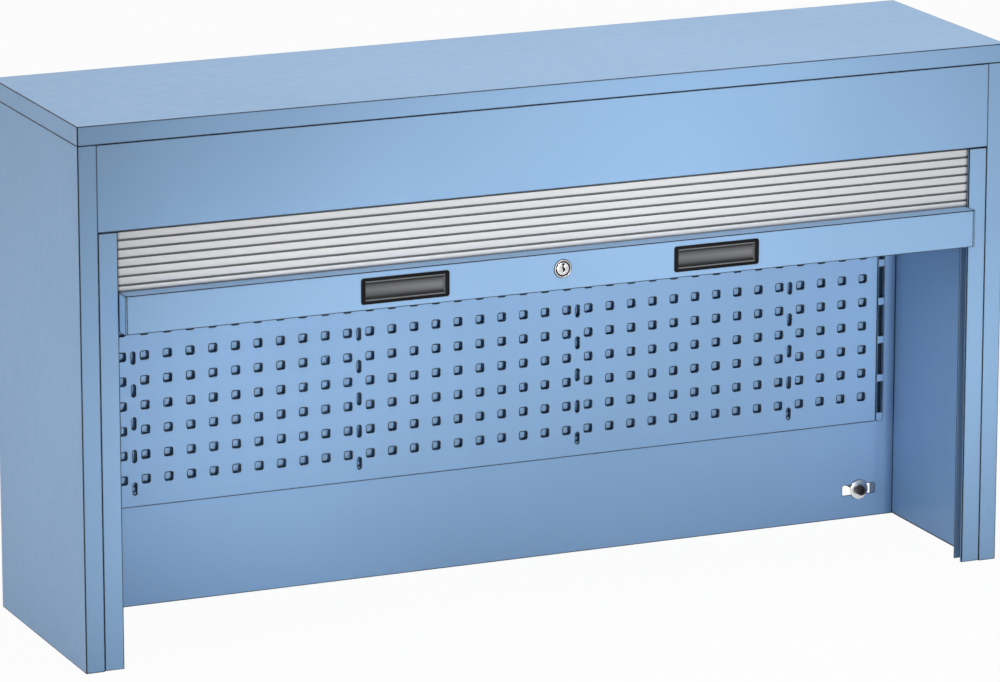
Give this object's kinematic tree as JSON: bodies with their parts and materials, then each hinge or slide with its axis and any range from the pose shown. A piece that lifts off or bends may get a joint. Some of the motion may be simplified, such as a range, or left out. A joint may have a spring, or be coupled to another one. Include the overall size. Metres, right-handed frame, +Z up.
{
  "type": "roll front tool cabinet",
  "caption": "Wide open-bottomed steel cabinet for a workbench, with a slatted roll front on a handle bar, two cup grips, a lock, and a perforated tool panel on its back wall.",
  "frame": {"origin": "middle of the whole object's footprint, at the level of the surface that it stands on", "axes": "+Z up, +X to the right as seen from the front, +Y from the roll front towards the back wall"},
  "size_m": [1.56, 0.417, 0.85],
  "materials": {
    "blue_paint": "smooth light blue powder coat, semi-gloss",
    "slat_aluminium": "natural anodised, satin",
    "black_plastic": "moulded, fine texture",
    "lock_chrome": "satin nickel plate",
    "zinc_steel": "bright zinc plate",
    "black_steel": "black oxide",
    "seal_rubber": "matt extruded rubber"
  },
  "bodies": {
    "case": {"side_wall_left": "blue_paint", "side_wall_right": "blue_paint", "side_liner_left": "blue_paint", "side_liner_right": "blue_paint", "top_cover": "blue_paint", "fascia": "blue_paint", "back_wall": "blue_paint", "roll_box_floor": "blue_paint", "perforated_panel": "blue_paint", "mounting_rail_lower": "blue_paint", "mounting_rail_upper": "blue_paint", "panel_upright_left": "blue_paint", "panel_upright_right": "blue_paint", "guide_rail_left": "blue_paint", "guide_rail_right": "blue_paint", "guide_comb_left": "black_plastic", "guide_comb_right": "black_plastic", "striker_left": "zinc_steel", "striker_right": "zinc_steel", "fixing_screws": "black_steel", "fixing_washers": "zinc_steel", "shaft_bracket_left": "zinc_steel", "shaft_bracket_right": "zinc_steel", "spring_rod": "zinc_steel"},
    "shutter": {"handle_bar": "blue_paint", "bar_cap_left": "blue_paint", "bar_cap_right": "blue_paint", "bottom_seal": "seal_rubber", "cup_grip_left": "black_plastic", "cup_grip_right": "black_plastic", "lock_housing": "lock_chrome", "bolt_keepers": "zinc_steel", "curtain_run_1": "slat_aluminium"},
    "curtain_2": {"curtain_run_2": "slat_aluminium"},
    "curtain_3": {"curtain_run_3": "slat_aluminium"},
    "curtain_4": {"curtain_run_4": "slat_aluminium"},
    "lock_core": {"lock_plug": "lock_chrome", "lock_cam": "zinc_steel"},
    "bolt_left": {"lock_bolt_left": "zinc_steel"},
    "bolt_right": {"lock_bolt_right": "zinc_steel"},
    "shaft": {"shaft_tube": "zinc_steel", "shaft_plug_left": "zinc_steel", "shaft_plug_right": "zinc_steel", "balance_spring": "zinc_steel"}
  },
  "joints": [
    {"name": "roll_front", "type": "slide", "parent": "case", "child": "shutter", "axis": [0, 0, 1], "range_m": [-0.526, 0.093]},
    {"name": "curtain_2_slide", "type": "slide", "parent": "case", "child": "curtain_2", "axis": [0, 0, 1], "range_m": [-0.37972, 0.06796]},
    {"name": "curtain_3_slide", "type": "slide", "parent": "case", "child": "curtain_3", "axis": [0, 0, 1], "range_m": [-0.23244, 0.04192]},
    {"name": "curtain_4_slide", "type": "slide", "parent": "case", "child": "curtain_4", "axis": [0, 0, 1], "range_m": [-0.08516, 0.01588]},
    {"name": "shaft_turn", "type": "hinge", "parent": "case", "child": "shaft", "pos_m": [0, -0.0615, 0.762], "axis": [-1, 0, 0], "range_deg": [-795.09, 142.22]},
    {"name": "lock_turn", "type": "hinge", "parent": "shutter", "child": "lock_core", "pos_m": [0, -0.2065, 0.564], "axis": [0, 1, 0], "range_deg": [0, 90.5]},
    {"name": "bolt_left_slide", "type": "slide", "parent": "shutter", "child": "bolt_left", "axis": [-1, 0, 0], "range_m": [0, 0.012]},
    {"name": "bolt_right_slide", "type": "slide", "parent": "shutter", "child": "bolt_right", "axis": [1, 0, 0], "range_m": [0, 0.0121]}
  ],
  "couplings": [
    {"joint": "curtain_2_slide", "follows": "roll_front", "ratio": 0.72},
    {"joint": "curtain_3_slide", "follows": "roll_front", "ratio": 0.44},
    {"joint": "curtain_4_slide", "follows": "roll_front", "ratio": 0.16},
    {"joint": "shaft_turn", "follows": "roll_front", "rad_per_m": 26.316},
    {"joint": "lock_turn", "follows": "bolt_left_slide", "rad_per_m": 130.9},
    {"joint": "bolt_right_slide", "follows": "bolt_left_slide", "ratio": 1}
  ]
}
